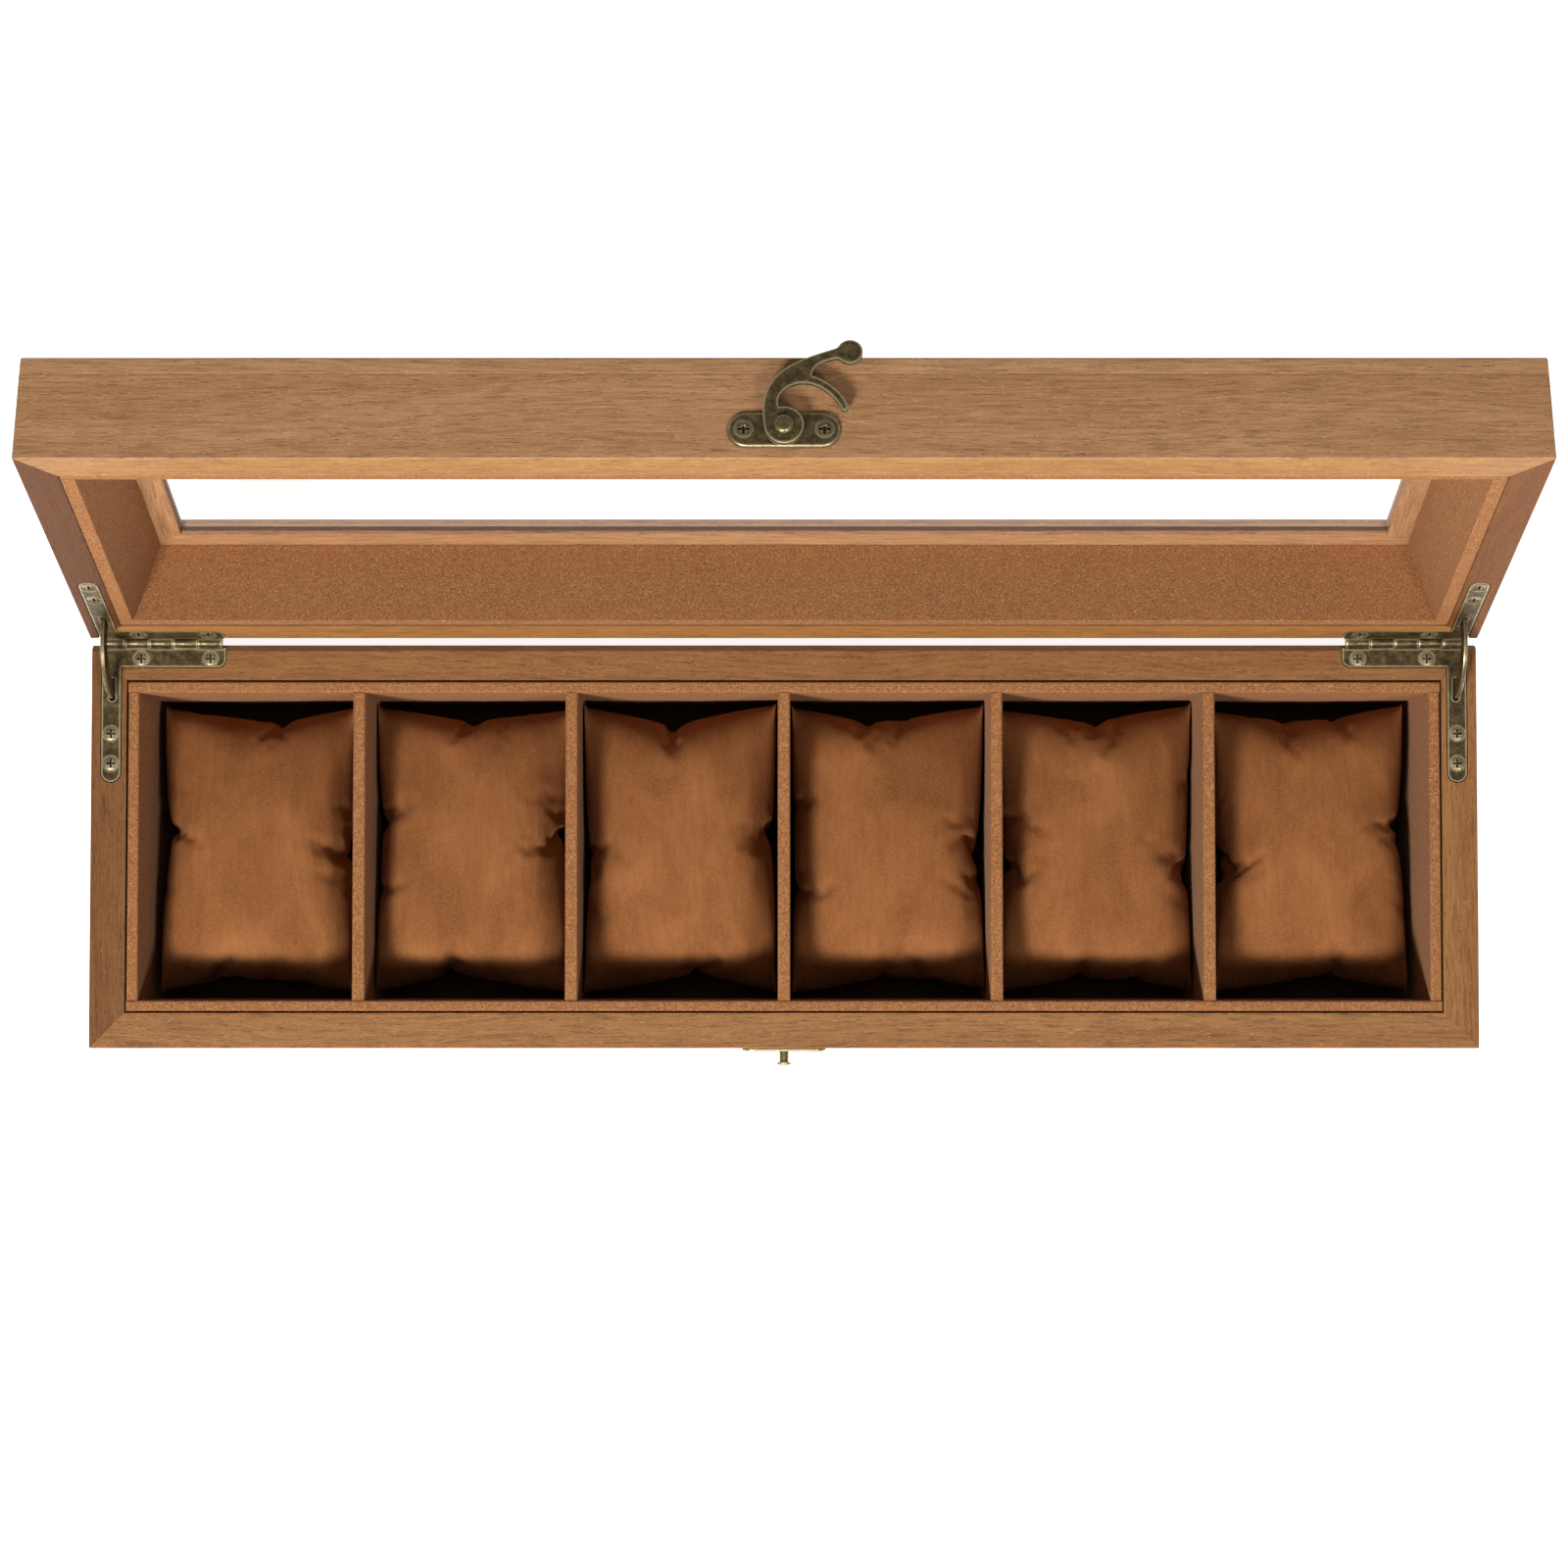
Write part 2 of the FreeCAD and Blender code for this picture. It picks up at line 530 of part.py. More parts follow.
# ---- lid ----
def make_lid():
    walls = centred_box(HALF_X, HALF_Y, LID_RIM, LID_CEILING)
    walls = walls.cut(centred_box(IN_X, IN_Y, LID_RIM - 1, LID_CEILING + 1))
    walls = walls.makeFillet(UPRIGHT_ROUND, outer_uprights(walls))
    rim = [e for e in walls.Edges if near(e.BoundBox.ZMax, LID_RIM) and on_outside(e)]
    walls = walls.makeChamfer(RIM_CHAMFER, rim)
    clasp_z = LID_RIM + CLASP_RISE
    clasp_screws = front_screws(CLASP_SCREW, clasp_z, CLASP_SCREW_HEAD_R)
    head_at = CLASP_THICK + BOSS_HEIGHT + HOOK_THICK + 2 * HOOK_PLAY
    rivet = headed_pin(RIVET_R, RIVET_HEAD_R, PIN_IN_WOOD, head_at, RIVET_HEAD, clasp_z)
    plate = stadium(CLASP_LENGTH, CLASP_WIDTH, CLASP_THICK, clasp_z)
    boss = cylinder(BOSS_R, (0, -HALF_Y - CLASP_THICK, clasp_z), (0, -1, 0), BOSS_HEIGHT)
    clasp_holes = [hole for solid, hole in clasp_screws]
    plate = cut_all(fused([plate, boss]), [rivet] + clasp_holes)
    cutters = [mirrored_to_lid(c) for c in hinge_cutters(LID_SIDE_SCREWS)]
    cutters = cutters + [mirrored_x(c) for c in cutters]
    cutters = cutters + [mirrored_to_lid(back_chamfer()), rivet] + clasp_holes
    walls = cut_all(walls, cutters)
    for side, wall in mitred(walls, WALL, WALL).items():
        export("lid_" + side + "_wall", opened(wall))

    half_x = HALF_X - RAIL_WIDTH_SIDE
    half_y = HALF_Y - RAIL_WIDTH_FRONT
    rails = centred_box(HALF_X, HALF_Y, LID_CEILING, LID_TOP)
    rails = rails.makeFillet(UPRIGHT_ROUND, outer_uprights(rails))
    rails = rails.makeFillet(LID_TOP_ROUND, [e for e in rails.Edges if near(e.BoundBox.ZMin, LID_TOP)])
    rails = rails.makeChamfer(SEAM_CHAMFER, [e for e in rails.Edges if near(e.BoundBox.ZMax, LID_CEILING)])
    window = centred_box(half_x, half_y, LID_CEILING - 1, LID_TOP + 1)
    rails = rails.cut(window)
    sight = [e for e in rails.Edges if near(e.BoundBox.ZMin, LID_TOP) and not on_outside(e, half_x + 2)]
    rails = rails.makeChamfer(SIGHT_CHAMFER, sight)
    groove = centred_box(half_x + GLASS_REBATE, half_y + GLASS_REBATE, GLASS_BOTTOM - GLASS_PLAY / 2,
                         GLASS_BOTTOM + GLASS + GLASS_PLAY / 2)
    rails = rails.cut(groove)
    for side, rail in mitred(rails, RAIL_WIDTH_SIDE, RAIL_WIDTH_FRONT).items():
        export("lid_" + side + "_rail", opened(rail))
    reach = GLASS_REBATE - GLASS_EDGE_PLAY
    glass = centred_box(half_x + reach, half_y + reach, GLASS_BOTTOM, GLASS_BOTTOM + GLASS)
    export("lid_glass", opened(glass))
    export("clasp_plate", opened(plate))
    export("clasp_rivet", opened(rivet))
    export("clasp_screws", [opened(solid) for solid, hole in clasp_screws])
    export("clasp_hook", opened(clasp_hook(clasp_z)))


def outer_uprights(shape):
    found = edges_where(shape, lambda p: near(abs(p.x), HALF_X) and near(abs(p.y), HALF_Y))
    return [e for e in found if e.BoundBox.ZLength > 1]


def on_outside(edge, inner_x=IN_X + 1):
    bound = edge.BoundBox
    far_x = max(abs(bound.XMin), abs(bound.XMax))
    far_y = min(abs(bound.YMin), abs(bound.YMax))
    return far_x > inner_x or far_y > IN_Y + 1


def make_lid_linings():
    z0 = LID_RIM + LID_LINER_DROP
    z1 = LID_CEILING
    inner_y = IN_Y - LID_LINER
    export("lid_liner_front", opened(box(-IN_X, IN_X, -IN_Y, -inner_y, z0, z1)))
    export("lid_liner_back", opened(box(-IN_X, IN_X, inner_y, IN_Y, z0, z1)))
    points = [
        (-IN_X, -inner_y, z0),
        (-IN_X + LID_SIDE_LINER_RIM, -inner_y, z0),
        (-IN_X + LID_SIDE_LINER_TOP, -inner_y, z1),
        (-IN_X, -inner_y, z1),
    ]
    left = polygon_prism(points, (0, 2 * inner_y, 0))
    export("lid_liner_left", opened(left))
    export("lid_liner_right", opened(mirrored_x(left)))


# ---- hinges ----
def make_hinges():
    base_leaf = hinge_leaf((1, 3), PIN_R, BASE_SIDE_SCREWS)
    lid_leaf = opened(mirrored_to_lid(hinge_leaf((0, 2, 4), PIN_R + PIN_PLAY, LID_SIDE_SCREWS)))
    barrel_0 = -HALF_X + BARREL_START
    pin = barrel_piece(PIN_R, barrel_0, barrel_0 + KNUCKLES * KNUCKLE)
    base_screws = Part.makeCompound([solid for solid, hole in hinge_screws(BASE_SIDE_SCREWS)])
    lid_screws = Part.makeCompound([solid for solid, hole in hinge_screws(LID_SIDE_SCREWS)])
    lid_screws = opened(mirrored_to_lid(lid_screws))
    pieces = {
        "hinge_base_leaf": base_leaf,
        "hinge_lid_leaf": lid_leaf,
        "hinge_pin": pin,
        "hinge_base_screws": base_screws,
        "hinge_lid_screws": lid_screws,
        "hinge_stay": left_stay(),
    }
    for name, shape in pieces.items():
        export("left_" + name, shape)
        export("right_" + name, mirrored_x(shape))


os.makedirs("parts", exist_ok=True)
make_base()
make_linings()
make_pillows()
make_lid()
make_lid_linings()
make_hinges()
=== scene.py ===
import json
import math
import random

import bmesh
import bpy
from mathutils import Euler, Matrix, Vector, noise


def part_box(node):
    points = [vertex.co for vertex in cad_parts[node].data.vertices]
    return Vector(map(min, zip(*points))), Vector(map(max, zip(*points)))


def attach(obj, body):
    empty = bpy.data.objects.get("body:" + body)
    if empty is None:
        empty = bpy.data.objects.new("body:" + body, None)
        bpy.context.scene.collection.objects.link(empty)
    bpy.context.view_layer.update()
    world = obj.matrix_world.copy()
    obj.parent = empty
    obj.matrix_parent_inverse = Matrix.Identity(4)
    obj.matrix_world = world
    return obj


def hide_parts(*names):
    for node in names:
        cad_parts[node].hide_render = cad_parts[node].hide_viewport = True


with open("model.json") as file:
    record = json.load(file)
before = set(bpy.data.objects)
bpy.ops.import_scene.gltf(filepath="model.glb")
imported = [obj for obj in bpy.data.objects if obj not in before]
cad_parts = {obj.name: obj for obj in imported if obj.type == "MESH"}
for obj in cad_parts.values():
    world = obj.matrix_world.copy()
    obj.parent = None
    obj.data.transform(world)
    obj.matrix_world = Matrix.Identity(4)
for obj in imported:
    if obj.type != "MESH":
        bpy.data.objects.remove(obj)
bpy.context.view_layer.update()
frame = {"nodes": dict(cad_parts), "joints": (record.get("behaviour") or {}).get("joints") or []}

# ---- places, from the frame, in metres ----
MM = 0.001
NODES = frame["nodes"]
RIM_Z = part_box("base_front_wall")[1].z
HINGE = next(j for j in frame["joints"] if j["name"] == "lid_hinge")
OPEN_ANGLE = math.radians(-HINGE["range_deg"][0])
PILLOWS = ["pillow_%d" % n for n in range(1, 7)]

# how far each kind of edge is rounded
WOOD_EASE = 0.10 * MM
FELT_EASE = 0.2 * MM
METAL_EASE = 0.25 * MM


# ---- small helpers for node materials ----
class Graph:
    """A material's node tree, with one short call for each node."""

    def __init__(self, name):
        self.material = bpy.data.materials.new(name)
        self.material.use_nodes = True
        self.tree = self.material.node_tree
        self.tree.nodes.clear()
        self.output = self.tree.nodes.new("ShaderNodeOutputMaterial")

    def node(self, kind, inputs=None, **settings):
        made = self.tree.nodes.new("ShaderNode" + kind)
        for key, value in settings.items():
            setattr(made, key, value)
        for key, value in (inputs or {}).items():
            self.put(made.inputs[key], value)
        return made

    def put(self, socket, value):
        if isinstance(value, bpy.types.NodeSocket):
            self.tree.links.new(value, socket)
        else:
            socket.default_value = value

    def math(self, operation, a, b=0.0, clamp=False):
        made = self.node("Math", {0: a, 1: b}, operation=operation, use_clamp=clamp)
        return made.outputs[0]

    def coords(self, location=(0, 0, 0), rotation=(0, 0, 0), scale=(1, 1, 1), source=None):
        if source is None:
            source = self.node("TexCoord").outputs["Object"]
        mapping = self.node("Mapping", {"Vector": source, "Location": location,
                                        "Rotation": rotation, "Scale": scale})
        return mapping.outputs["Vector"]

    def noise(self, vector, scale, detail=2.0, roughness=0.5, distortion=0.0):
        made = self.node("TexNoise", {"Vector": vector, "Scale": scale, "Detail": detail,
                                      "Roughness": roughness, "Distortion": distortion})
        return made.outputs["Fac"]

    def ramp(self, value, stops):
        made = self.node("ValToRGB", {"Fac": value})
        ramp = made.color_ramp
        while len(ramp.elements) < len(stops):
            ramp.elements.new(0.5)
        for element, (position, colour) in zip(ramp.elements, stops):
            element.position = position
            element.color = (*colour, 1.0) if len(colour) == 3 else colour
        return made.outputs["Color"]

    def span(self, value, low, high, new_low=0.0, new_high=1.0):
        made = self.node("MapRange", {"Value": value, "From Min": low, "From Max": high,
                                      "To Min": new_low, "To Max": new_high}, clamp=True)
        return made.outputs["Result"]

    def mix(self, factor, a, b, blend="MIX"):
        made = self.node("Mix", data_type="RGBA", blend_type=blend, clamp_factor=True)
        self.put(made.inputs[0], factor)
        self.put(made.inputs[6], a if isinstance(a, bpy.types.NodeSocket) else (*a, 1.0))
        self.put(made.inputs[7], b if isinstance(b, bpy.types.NodeSocket) else (*b, 1.0))
        return made.outputs[2]

    def bump(self, height, distance, strength):
        made = self.node("Bump", {"Height": height, "Distance": distance, "Strength": strength})
        return made.outputs["Normal"]

    def occlusion(self, distance):
        """1 in the open and less in cracks and corners."""
        return self.node("AmbientOcclusion", {"Distance": distance}, samples=8).outputs["AO"]

    def edge(self, radius):
        """1 on sharp edges and 0 on flat faces, from how a rounded normal differs from the true one."""
        soft = self.node("Bevel", {"Radius": radius}, samples=6).outputs["Normal"]
        flat = self.node("NewGeometry").outputs["Normal"]
        dot = self.node("VectorMath", {0: soft, 1: flat}, operation="DOT_PRODUCT").outputs["Value"]
        return self.span(dot, 0.99, 0.86)

    def principled(self, **inputs):
        named = {key.replace("_", " "): value for key, value in inputs.items()}
        shader = self.node("BsdfPrincipled", named)
        self.tree.links.new(shader.outputs["BSDF"], self.output.inputs["Surface"])
        return shader


def grain_turn(node):
    """Turns object space so that the board's grain runs along X."""
    lid = Euler((OPEN_ANGLE, 0, 0)) if node.startswith("lid_") else Euler((0, 0, 0))
    if "left" in node or "right" in node:
        turned = Euler((0, 0, math.pi / 2)).to_matrix() @ lid.to_matrix()
        return turned.to_euler()
    return lid


# ---- materials ----
# Red, green and blue of each board as a share of the lid front's. They are set for the rest
# view under this studio's light, so they hold some shade as well as the colour of the wood.
BOARD_TONES = {
    "base_front_wall": (0.74, 0.68, 0.66),
    "base_back_wall": (0.61, 0.53, 0.46),
    "base_left_wall": (0.48, 0.40, 0.34),
    "base_right_wall": (0.67, 0.58, 0.51),
    "lid_left_wall": (0.30, 0.20, 0.12),
    "lid_right_wall": (0.46, 0.32, 0.19),
    "lid_back_wall": (0.90, 0.82, 0.68),
}


def wood(name, turn, seed, rim):
    """Oiled brown wood with long fine grain, open pores and paler flecks.

    turn lays the grain along the board, and the face that looks along rim is made darker and warmer as
    painted shade."""
    g = Graph(name)
    rng = random.Random(seed)
    offset = (rng.uniform(-2, 2), rng.uniform(-2, 2), rng.uniform(-2, 2))
    tone = BOARD_TONES.get(name.removeprefix("wood_"), (1.0, 1.0, 1.0))
    turned = g.coords(rotation=turn)
    place = g.coords(location=offset, source=turned)
    drift = g.noise(g.coords(scale=(7, 25, 25), source=place), 1.0, 3.0, 0.55)
    sway = g.node("CombineXYZ", {"X": 0.0, "Y": g.math("MULTIPLY", drift, 0.016),
                                 "Z": g.math("MULTIPLY", drift, 0.010)}).outputs["Vector"]
    place = g.node("VectorMath", {0: place, 1: sway}, operation="ADD").outputs["Vector"]
    bands = g.noise(g.coords(scale=(2.2, 130, 130), source=place), 1.0, 7.0, 0.68, 0.2)
    broad = g.noise(g.coords(scale=(4, 42, 42), source=place), 1.0, 2.0, 0.5)
    fibre = g.noise(g.coords(scale=(95, 1700, 1700), source=place), 1.0, 3.0, 0.6)
    pores = g.noise(g.coords(scale=(420, 3600, 3600), source=place), 1.0, 1.0, 0.4)
    flecks = g.noise(g.coords(scale=(900, 4200, 4200), location=(5, 3, 1), source=place), 1.0, 1.0, 0.4)

    def tint(red, green, blue):
        return red * tone[0], green * tone[1], blue * tone[2]

    colour = g.ramp(bands, [(0.25, tint(0.330, 0.160, 0.070)), (0.46, tint(0.405, 0.208, 0.096)),
                            (0.58, tint(0.450, 0.240, 0.114)), (0.76, tint(0.520, 0.295, 0.150))])
    colour = g.mix(g.span(broad, 0.36, 0.64, 0.0, 0.40), colour, tint(0.360, 0.172, 0.074))
    fine = g.ramp(fibre, [(0.3, (0.66, 0.62, 0.58)), (0.5, (1, 1, 1)), (0.72, (1.22, 1.24, 1.27))])
    colour = g.mix(0.85, colour, fine, "MULTIPLY")
    # painted shade: the rim face is darkened and warmed by the way it faces, not by its wood
    if rim is not None:
        normal = g.node("TexCoord").outputs["Normal"]
        facing = g.node("VectorMath", {0: normal, 1: rim}, operation="DOT_PRODUCT").outputs["Value"]
        colour = g.mix(g.span(facing, 0.9, 0.97), colour, (0.88, 0.84, 0.66), "MULTIPLY")
    pore = g.span(pores, 0.64, 0.74)
    colour = g.mix(g.math("MULTIPLY", pore, 0.35), colour, tint(0.13, 0.052, 0.022))
    fleck = g.span(flecks, 0.63, 0.74)
    colour = g.mix(g.math("MULTIPLY", fleck, 0.30), colour, tint(0.78, 0.56, 0.36))
    # painted shade: seams and inside corners darkened nearly to black by ambient occlusion; the glass
    # frame's back and side rails go without it
    if "rail" not in name or "front" in name:
        seam_and_corner_shade = g.span(g.occlusion(0.0008), 0.40, 0.85, 0.80, 0.0)
        colour = g.mix(seam_and_corner_shade, colour, (0.040, 0.016, 0.007))
    height = g.math("SUBTRACT", g.math("MULTIPLY", fibre, 0.6), pore)
    g.principled(Base_Color=colour, Roughness=g.span(fibre, 0.3, 0.7, 0.44, 0.60),
                 Specular_IOR_Level=0.15, Normal=g.bump(height, 0.00014, 0.7))
    return g.material


def felt(name, seed, shade):
    """Flocked brown felt: a fine speckle of dark and pale fibres; shade darkens it towards black as painted
    shade.
    """
    g = Graph(name)
    place = g.coords(location=(seed * 0.7, seed * 0.3, seed * 0.11))
    grains = g.noise(place, 2300, 2.0, 0.7)
    clumps = g.noise(place, 420, 3.0, 0.6)
    cloud = g.noise(place, 35, 2.0, 0.5)
    specks = g.noise(g.coords(location=(3, 1, 2), source=place), 3000, 1.0, 0.5)
    colour = g.ramp(grains, [(0.28, (0.150, 0.053, 0.017)), (0.5, (0.290, 0.118, 0.042)),
                             (0.70, (0.440, 0.215, 0.092))])
    colour = g.mix(g.span(clumps, 0.35, 0.7, 0.0, 0.25), colour, (0.200, 0.077, 0.027))
    colour = g.mix(g.span(cloud, 0.3, 0.7, 0.0, 0.20), colour, (0.35, 0.152, 0.058))
    colour = g.mix(g.math("MULTIPLY", g.span(specks, 0.68, 0.74), 0.5), colour, (0.74, 0.58, 0.45))
    # painted shade: the felt mixed towards near-black by shade
    colour = g.mix(shade, colour, (0.010, 0.004, 0.002))
    height = g.math("ADD", grains, clumps)
    g.principled(Base_Color=colour, Roughness=0.95, Specular_IOR_Level=0.1, Sheen_Weight=0.12,
                 Sheen_Roughness=0.5, Sheen_Tint=(0.9, 0.6, 0.4, 1.0),
                 Normal=g.bump(height, 0.00025, 0.6))
    return g.material


def suede(name, seed):
    """Brushed suede cloth: soft patches where the nap lies over, and a fine fuzz."""
    g = Graph(name)
    place = g.coords(location=(seed * 0.37, seed * 0.21, seed * 0.05))
    nap = g.noise(g.coords(scale=(1, 0.6, 1), source=place), 70, 4.0, 0.6, 0.6)
    fuzz = g.noise(place, 2300, 2.0, 0.7)
    streak = g.noise(g.coords(scale=(1, 0.18, 0.5), rotation=(0, 0, 0.3), source=place), 800, 3.0, 0.6)
    colour = g.ramp(nap, [(0.30, (0.150, 0.051, 0.015)), (0.5, (0.210, 0.076, 0.023)),
                          (0.70, (0.275, 0.106, 0.035))])
    colour = g.mix(g.span(fuzz, 0.35, 0.7, 0.0, 0.40), colour, (0.38, 0.155, 0.052))
    colour = g.mix(g.span(streak, 0.45, 0.75, 0.0, 0.25), colour, (0.11, 0.040, 0.014))
    height = g.math("ADD", g.math("MULTIPLY", fuzz, 0.6), g.math("MULTIPLY", streak, 0.7))
    g.principled(Base_Color=colour, Roughness=0.9, Specular_IOR_Level=0.12, Sheen_Weight=0.05,
                 Sheen_Roughness=0.4, Sheen_Tint=(0.95, 0.62, 0.38, 1.0),
                 Normal=g.bump(height, 0.00022, 0.6))
    return g.material


def bronze(name, painted_light, seed, edge_wear_and_highlight, shade):
    """Antique bronze: dark patina and painted shade in the hollows, worn brass and painted highlight on the
    edges.

    the second argument lifts it towards brass all over as painted light, the fourth adds worn brass and
    painted highlight on the edges, and the last darkens the patina as painted shade."""
    g = Graph(name)
    place = g.coords(location=(seed * 0.13, 0.2, seed * 0.07))
    mottle = g.noise(place, 520, 5.0, 0.65)
    grit = g.noise(place, 3000, 2.0, 0.6)
    patina = g.math("ADD", g.math("MULTIPLY", mottle, 0.6), g.math("MULTIPLY", grit, 0.4))
    colour = g.ramp(patina, [(0.38, (0.034, 0.021, 0.010)), (0.47, (0.105, 0.070, 0.026)),
                             (0.55, (0.195, 0.135, 0.050)), (0.66, (0.36, 0.265, 0.110))])
    # painted shade: the patina darkened all over by shade
    colour = g.mix(shade, colour, (0.030, 0.019, 0.008))
    # worn brass and painted highlight: the edges lifted towards pale brass
    worn_and_highlit_edges = g.math("MULTIPLY", g.edge(0.0009), g.span(mottle, 0.3, 0.55, 0.7 * edge_wear_and_highlight, edge_wear_and_highlight), clamp=True)
    # painted light: brass added all over on top of the edges
    lift = g.math("ADD", worn_and_highlit_edges, painted_light, clamp=True)
    colour = g.mix(lift, colour, (0.86, 0.72, 0.42))
    # dark patina and painted shade: hollows and recesses darkened nearly to black by ambient occlusion
    patina_and_shade_in_hollows = g.span(g.occlusion(0.0011), 0.30, 0.72, 0.93, 0.0)
    colour = g.mix(patina_and_shade_in_hollows, colour, (0.012, 0.009, 0.005))
    g.principled(Base_Color=colour, Metallic=0.7, Roughness=g.span(patina, 0.35, 0.65, 0.46, 0.28),
                 Normal=g.bump(patina, 0.00010, 0.6))
    return g.material


def clear_glass():
    """Thin clear glass; a faint haze keeps it from vanishing."""
    g = Graph("window_glass")
    haze = g.noise(g.coords(), 14, 2.0, 0.5)
    colour = g.ramp(haze, [(0.3, (0.86, 0.93, 0.92)), (0.7, (0.95, 0.98, 0.97))])
    g.principled(Base_Color=colour, Roughness=g.span(haze, 0.3, 0.7, 0.01, 0.03), IOR=1.5, Alpha=0.05)
    return g.material


def plywood():
    g = Graph("panel_wood")
    base = g.coords(scale=(8, 300, 300))
    grain = g.noise(base, 1.0, 4.0, 0.6)
    colour = g.ramp(grain, [(0.3, (0.33, 0.20, 0.10)), (0.7, (0.52, 0.36, 0.21))])
    g.principled(Base_Color=colour, Roughness=0.7, Normal=g.bump(grain, 0.0001, 0.5))
    return g.material


def paint(node, material):
    mesh = NODES[node].data
    mesh.materials.clear()
    mesh.materials.append(material)


def ease_edges(node, width):
    """Takes the sharpness off a part's edges, so that they catch the light."""
    weld = NODES[node].modifiers.new("Weld", "WELD")
    weld.merge_threshold = 0.001 * MM
    bevel = NODES[node].modifiers.new("Bevel", "BEVEL")
    bevel.width = width
    bevel.segments = 2
    bevel.angle_limit = math.radians(35)
    bevel.harden_normals = False


def rim_face(node):
    """Direction of a wall's rim face, which wood() darkens as painted shade, in the node's own space, or
    None for the frame round the glass.
    """
    if "wall" not in node:
        return None
    if node.startswith("base"):
        return 0.0, 0.0, 1.0
    return 0.0, -math.sin(OPEN_ANGLE), -math.cos(OPEN_ANGLE)


def dress_cad():
    glass = clear_glass()
    board = plywood()
    # the plates and screws are copies of the bronze darkened as painted shade, and the clasp, pins and
    # screws are lifted towards brass as painted light
    plates = bronze("bronze_plate", 0.0, 1, 0.7, 0.45)
    clasp = bronze("bronze_clasp", 0.05, 4, 1.3, 0.0)
    pins = bronze("bronze_pin", 0.10, 2, 1.0, 0.0)
    screws = bronze("bronze_screw", 0.04, 3, 0.5, 0.35)
    for index, name in enumerate(sorted(NODES)):
        if "wall" in name or "rail" in name:
            paint(name, wood("wood_" + name, grain_turn(name), index, rim_face(name)))
            ease_edges(name, WOOD_EASE)
        elif "glass" in name:
            paint(name, glass)
        elif "panel" in name:
            paint(name, board)
        elif "liner" in name or "divider" in name or "felt" in name:
            # the floor lining is darkened nearly to black as painted shade for the deep shadow under the
            # pillows
            paint(name, felt("felt_" + name, index, 0.85 if name == "floor_liner" else 0.0))
            ease_edges(name, FELT_EASE)
        elif "screws" in name:
            paint(name, screws)
        elif "pin" in name or "rivet" in name or "peg" in name:
            paint(name, pins)
        elif "pillow" not in name:
            paint(name, clasp if "clasp" in name or "catch" in name else plates)
            ease_edges(name, METAL_EASE)


# ---- pillows ----
SIM_SCALE = 10                      # the cloth solver is steadiest on bags about a metre long
BAG_ACROSS = 64 * MM * SIM_SCALE
BAG_ALONG = 80 * MM * SIM_SCALE
BAG_BULGE = 5                       # height of each panel's middle before the cloth runs, in mm
BAG_LUMP = 2                        # how much that height varies, in mm
CELLS_ACROSS = 44
CELLS_ALONG = 56
SIM_FRAMES = 36
PRESSURE = 6.0
SIDE_OVER = 0.3 * MM                # how far the suede passes the CAD pillow's sides
END_OVER = 4.3 * MM                 # and its ends
SIDE_SOFTNESS = 3.0 * MM            # band in which a wall takes up the suede
TOP_SOFTNESS = 4.0 * MM
TOP_SHARE = 0.98                    # height of the bag as a share of the CAD pillow's
WRINKLE = 0.9 * MM
WRINKLE_SCALE = 60


def flat_bag(name, seed):
    """Two suede panels sewn round their edge, a little apart in the middle."""
    rng = random.Random(seed)
    mesh = bpy.data.meshes.new(name)
    bm = bmesh.new()
    wave = Vector((rng.uniform(0, 50), rng.uniform(0, 50), rng.uniform(0, 50)))
    grid = {}
    for side in (1, -1):
        for i in range(CELLS_ACROSS + 1):
            for j in range(CELLS_ALONG + 1):
                u = i / CELLS_ACROSS * 2 - 1
                v = j / CELLS_ALONG * 2 - 1
                bulge = (1 - u ** 4) * (1 - v ** 4)
                if bulge == 0 and side == -1:
                    grid[-1, i, j] = grid[1, i, j]
                    continue
                lump = noise.noise(Vector((u * 2.2, v * 2.2, side * 3)) + wave)
                z = side * bulge * (BAG_BULGE + BAG_LUMP * lump) * MM * SIM_SCALE
                grid[side, i, j] = bm.verts.new((u * BAG_ACROSS / 2, v * BAG_ALONG / 2, z))
    for side in (1, -1):
        for i in range(CELLS_ACROSS):
            for j in range(CELLS_ALONG):
                ring = [(i, j), (i + 1, j), (i + 1, j + 1), (i, j + 1)]
                if side == -1:
                    ring.reverse()
                bm.faces.new([grid[side, a, b] for a, b in ring])
    bm.to_mesh(mesh)
    bm.free()
    bag = bpy.data.objects.new(name, mesh)
    bpy.context.scene.collection.objects.link(bag)
    return bag


def inflate(bag):
    """Blow the bag up with Blender's cloth, then keep the shape that it reaches."""
    cloth = bag.modifiers.new("Cloth", "CLOTH")
    settings = cloth.settings
    settings.quality = 8
    settings.mass = 0.1
    settings.tension_stiffness = 40
    settings.compression_stiffness = 40
    settings.shear_stiffness = 5
    settings.bending_stiffness = 0.1
    settings.air_damping = 1.0
    settings.use_pressure = True
    settings.uniform_pressure_force = PRESSURE
    settings.effector_weights.gravity = 0
    cloth.collision_settings.use_collision = False
    cloth.point_cache.frame_start = 1
    cloth.point_cache.frame_end = SIM_FRAMES
    scene = bpy.context.scene
    scene.frame_start = 1
    scene.frame_end = SIM_FRAMES
    for number in range(1, SIM_FRAMES + 1):
        scene.frame_set(number)
    graph = bpy.context.evaluated_depsgraph_get()
    shaped = bpy.data.meshes.new_from_object(bag.evaluated_get(graph))
    bag.modifiers.clear()
    bag.data = shaped
    scene.frame_set(1)


def soft_limit(value, limit, softness):
    """(value eased so that it never passes limit, how much was taken off)."""
    start = limit - softness
    size = abs(value)
    if size <= start:
        return value, 0.0
    eased = start + softness * math.tanh((size - start) / softness)
    return math.copysign(eased, value), size - eased


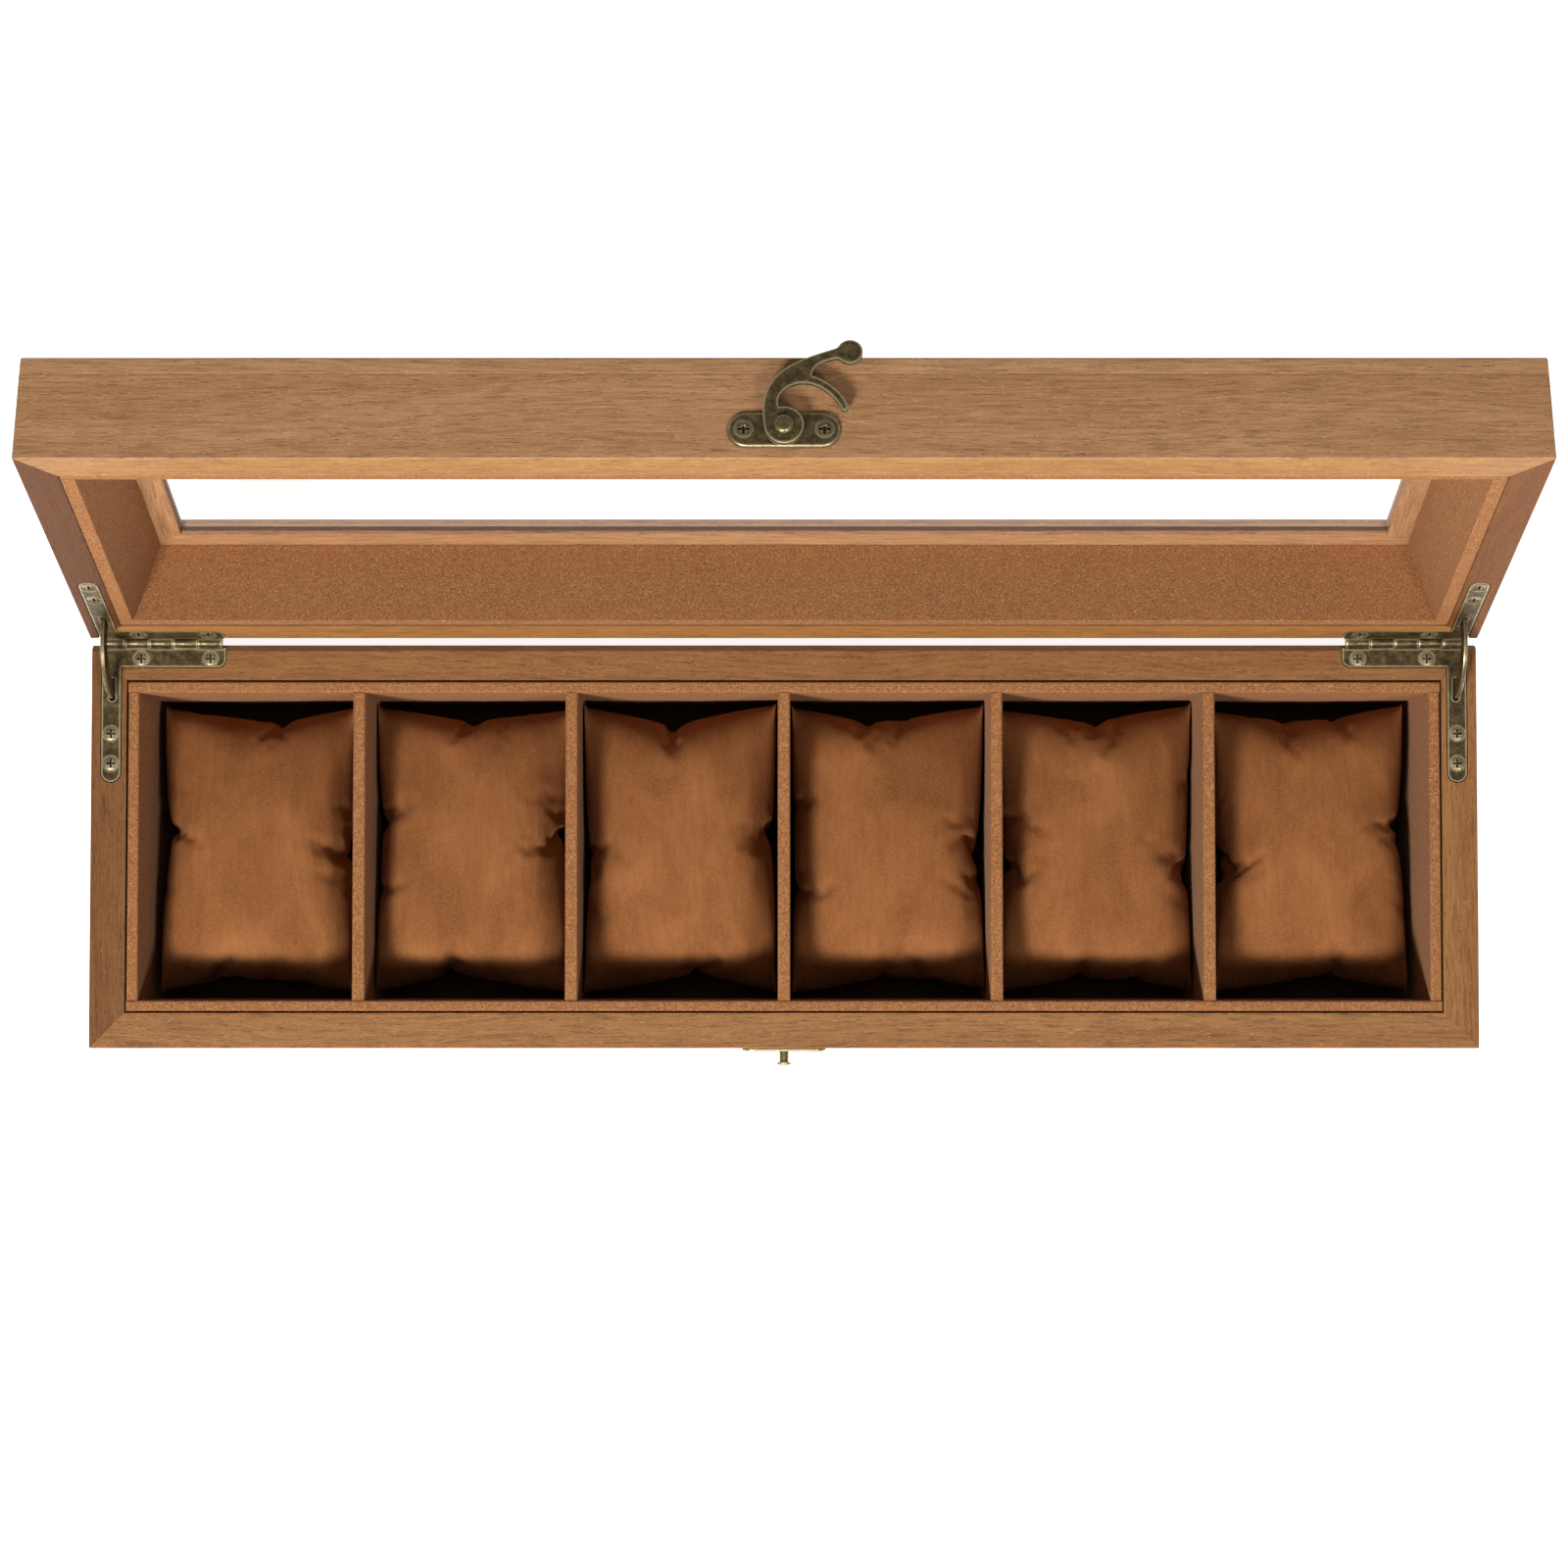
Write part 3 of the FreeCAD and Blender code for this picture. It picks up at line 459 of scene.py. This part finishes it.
def fit_to_compartment(bag, name, seed):
    """Press the blown-up bag into its compartment: sides on the walls, ears folded up, foot on the floor."""
    low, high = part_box(name)
    middle = (low + high) / 2
    half = (high - low) / 2
    rng = random.Random(seed)
    turn = Euler((rng.uniform(-0.05, 0.05), rng.uniform(-0.04, 0.04), rng.uniform(-0.03, 0.03)))
    turn = turn.to_matrix() @ Matrix.Rotation(math.pi * rng.randint(0, 1), 3, "Z")
    fold = {(sx, sy): rng.uniform(0.35, 1.1) for sx in (-1, 1) for sy in (-1, 1)}
    points = [turn @ (vertex.co / SIM_SCALE) for vertex in bag.data.vertices]
    lift = half.z * TOP_SHARE / max(point.z for point in points)
    wave = Vector((rng.uniform(0, 50), rng.uniform(0, 50), 0))
    for vertex, point in zip(bag.data.vertices, points):
        x, past_x = soft_limit(point.x, half.x + SIDE_OVER, SIDE_SOFTNESS)
        y, past_y = soft_limit(point.y, half.y + END_OVER, SIDE_SOFTNESS)
        corner = (1 if point.x > 0 else -1, 1 if point.y > 0 else -1)
        z = point.z * lift + fold[corner] * (past_x + past_y)
        z += noise.noise(point * WRINKLE_SCALE + wave) * WRINKLE
        z = soft_limit(z, half.z, TOP_SOFTNESS)[0]
        vertex.co = middle + Vector((x, y, z))


def make_pillows():
    for number, name in enumerate(PILLOWS):
        bag = flat_bag(name + "_suede", 11 + number)
        inflate(bag)
        fit_to_compartment(bag, name, 31 + number)
        for polygon in bag.data.polygons:
            polygon.use_smooth = True
        bag.data.materials.clear()
        bag.data.materials.append(suede("suede_" + name, 3 + number))
        smooth = bag.modifiers.new("Smooth", "SUBSURF")
        smooth.levels = 1
        smooth.render_levels = 1
        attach(bag, name)
        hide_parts(name)


# ---- stage ----
FLOOR_HALF = 3
FLOOR_DROP = 0.2 * MM
LIGHT_AIM = (0, 0, 0.05)
LENS = 82.7
CAMERA_Y = -0.0241
CAMERA_ABOVE_RIM = 0.8564
CAMERA_TILT = math.radians(2.6)


def make_floor():
    mesh = bpy.data.meshes.new("floor")
    corners = [(x * FLOOR_HALF, y * FLOOR_HALF, 0) for x, y in ((-1, -1), (1, -1), (1, 1), (-1, 1))]
    mesh.from_pydata(corners, [], [(0, 1, 2, 3)])
    floor = bpy.data.objects.new("floor", mesh)
    floor.location.z = -FLOOR_DROP
    bpy.context.scene.collection.objects.link(floor)
    g = Graph("floor_paint")
    g.principled(Base_Color=(0.80, 0.80, 0.80, 1.0), Roughness=0.9, Specular_IOR_Level=0.1,
                 Emission_Color=(1, 1, 1, 1), Emission_Strength=0.85)
    mesh.materials.append(g.material)


def soft_light(name, place, width, height, power):
    data = bpy.data.lights.new(name, "AREA")
    data.shape = "RECTANGLE"
    data.size = width
    data.size_y = height
    data.energy = power
    light = bpy.data.objects.new(name, data)
    light.location = place
    light.rotation_euler = (Vector(LIGHT_AIM) - Vector(place)).to_track_quat("-Z", "Y").to_euler()
    bpy.context.scene.collection.objects.link(light)


def make_lights():
    world = bpy.data.worlds.new("studio")
    world.use_nodes = True
    background = world.node_tree.nodes["Background"]
    background.inputs["Color"].default_value = (1, 1, 1, 1)
    background.inputs["Strength"].default_value = 0.08
    bpy.context.scene.world = world
    soft_light("key", (-0.60, -1.05, 1.45), 0.40, 0.30, 39)
    soft_light("second", (0.65, -0.85, 1.45), 0.40, 0.30, 12)
    soft_light("top", (0, 0.15, 1.7), 0.9, 0.5, 2)


def make_camera():
    data = bpy.data.cameras.new("camera")
    data.lens = LENS
    data.sensor_width = 36
    data.clip_start = 0.05
    camera = bpy.data.objects.new("camera", data)
    camera.location = (0, CAMERA_Y, RIM_Z + CAMERA_ABOVE_RIM)
    camera.rotation_euler = (CAMERA_TILT, 0, 0)
    bpy.context.scene.collection.objects.link(camera)
    bpy.context.scene.camera = camera


bpy.context.scene.view_settings.view_transform = "Standard"
make_camera()
make_floor()
make_lights()
dress_cad()
make_pillows()
